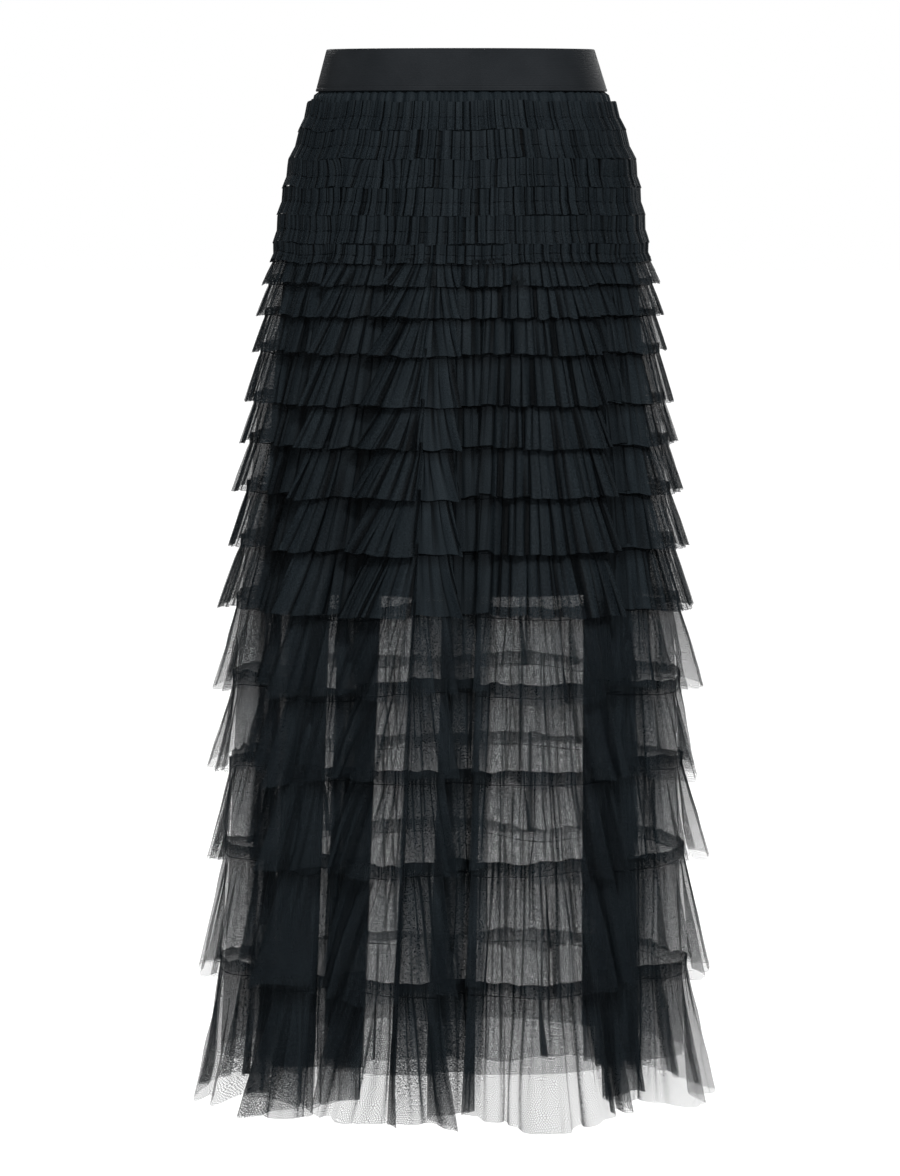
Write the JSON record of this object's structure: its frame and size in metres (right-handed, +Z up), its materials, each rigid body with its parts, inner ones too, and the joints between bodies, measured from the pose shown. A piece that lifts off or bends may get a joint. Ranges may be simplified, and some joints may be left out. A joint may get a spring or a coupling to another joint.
{
  "type": "maxi skirt",
  "caption": "Worn, hollow maxi skirt: gathered net tiers down a sheer flared tube, a short lining inside, and a wide elastic waistband.",
  "frame": {"origin": "centre of the wearer's waist, at the waistband's mid height", "axes": "+Z up, front faces -Y, +X to the wearer's left"},
  "size_m": [0.462, 0.4059, 0.9448],
  "materials": {
    "net": "matt, sheer fine net",
    "band": "smooth woven elastic with a soft sheen",
    "lining": "matt, opaque plain weave"
  },
  "bodies": {
    "root": {"waistband": "band", "base_front": "net", "base_back": "net", "lining_front": "lining", "lining_back": "lining", "tier_01": "net", "tier_02": "net", "tier_03": "net", "tier_04": "net", "tier_05": "net", "tier_06": "net", "tier_07": "net", "tier_08": "net", "tier_09": "net", "tier_10": "net", "tier_11": "net", "tier_12": "net", "tier_13": "net", "tier_14": "net", "tier_15": "net", "tier_16": "net", "tier_17": "net", "tier_18": "net", "tier_19": "net"}
  },
  "joints": []
}
